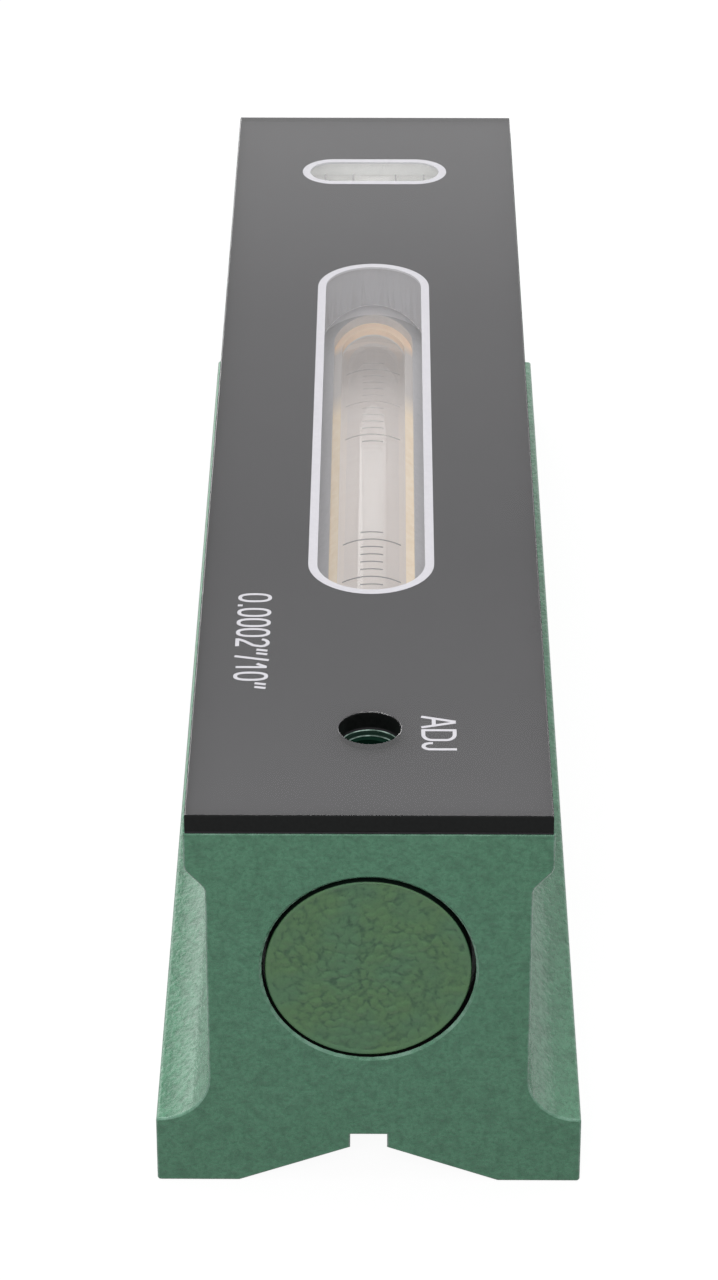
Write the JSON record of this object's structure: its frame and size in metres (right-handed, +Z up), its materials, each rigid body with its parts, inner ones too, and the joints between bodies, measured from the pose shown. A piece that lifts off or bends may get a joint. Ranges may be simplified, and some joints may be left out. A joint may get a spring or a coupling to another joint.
{
  "type": "precision level",
  "caption": "Bar level with a flanged V base, a clear cover plate over a graduated main vial in an adjustable tube, a cross vial and an adjusting screw.",
  "frame": {"origin": "middle of the base's plane, under the middle of the level", "axes": "+Z up from the base, Y along the level with the adjusting screw near its -Y end, +X to the right when looking along +Y"},
  "size_m": [0.0484, 0.2, 0.0491],
  "materials": {
    "casting_paint": "hammered paint, ground on the base",
    "clear_cover": "clear and polished",
    "black_print": "printed film",
    "white_print": "printed film",
    "cover_paint": "coarse hammered paint",
    "steel": "turned",
    "spring_steel": "drawn wire",
    "tube_metal": "matte",
    "plaster": "matte",
    "vial_glass": "clear",
    "spirit": "clear",
    "bubble": "clear",
    "line_ink": "matte",
    "brass": "turned",
    "holder_white": "matte"
  },
  "bodies": {
    "level_bar": {"body": "casting_paint", "top_plate": "clear_cover", "printed_mask": "black_print", "main_window_outline": "white_print", "cross_window_outline": "white_print", "front_plug": "cover_paint", "rear_plug": "cover_paint", "pivot_pin": "steel", "return_spring": "spring_steel", "cross_vial_holder": "holder_white", "cross_vial_glass": "vial_glass", "cross_vial_graduations": "line_ink", "cross_vial_spirit": "spirit"},
    "vial_carrier": {"vial_tube": "tube_metal", "plaster_bed": "plaster", "tube_front_end": "tube_metal", "tube_rear_end": "tube_metal", "vial_glass": "vial_glass", "vial_graduations": "line_ink", "vial_spirit": "spirit"},
    "pad": {"thrust_pad": "brass"},
    "screw": {"adjusting_screw": "steel"},
    "long_bubble": {"main_bubble": "bubble"},
    "short_bubble": {"cross_bubble": "bubble"}
  },
  "joints": [
    {"name": "carrier_tilt", "type": "hinge", "parent": "level_bar", "child": "vial_carrier", "pos_m": [0, 0.064, 0.029], "axis": [1, 0, 0], "range_deg": [-0.2964, 0.2964], "deforming": ["return_spring"]},
    {"name": "pad_slide", "type": "slide", "parent": "level_bar", "child": "pad", "axis": [0, 0, 1], "range_m": [-0.00075, 0.00075]},
    {"name": "screw_turn", "type": "hinge", "parent": "pad", "child": "screw", "pos_m": [0, -0.081, 0.0415], "axis": [0, 0, 1], "range_deg": [-270.2, 270.2]},
    {"name": "main_bubble_slide", "type": "slide", "parent": "vial_carrier", "child": "long_bubble", "axis": [0, 1, 0], "range_m": [-0.037, 0.037]},
    {"name": "cross_bubble_slide", "type": "slide", "parent": "level_bar", "child": "short_bubble", "axis": [1, 0, 0], "range_m": [-0.008, 0.008]}
  ],
  "couplings": [
    {"joint": "pad_slide", "follows": "carrier_tilt", "m_per_rad": -0.145},
    {"joint": "screw_turn", "follows": "carrier_tilt", "ratio": -911.06}
  ]
}
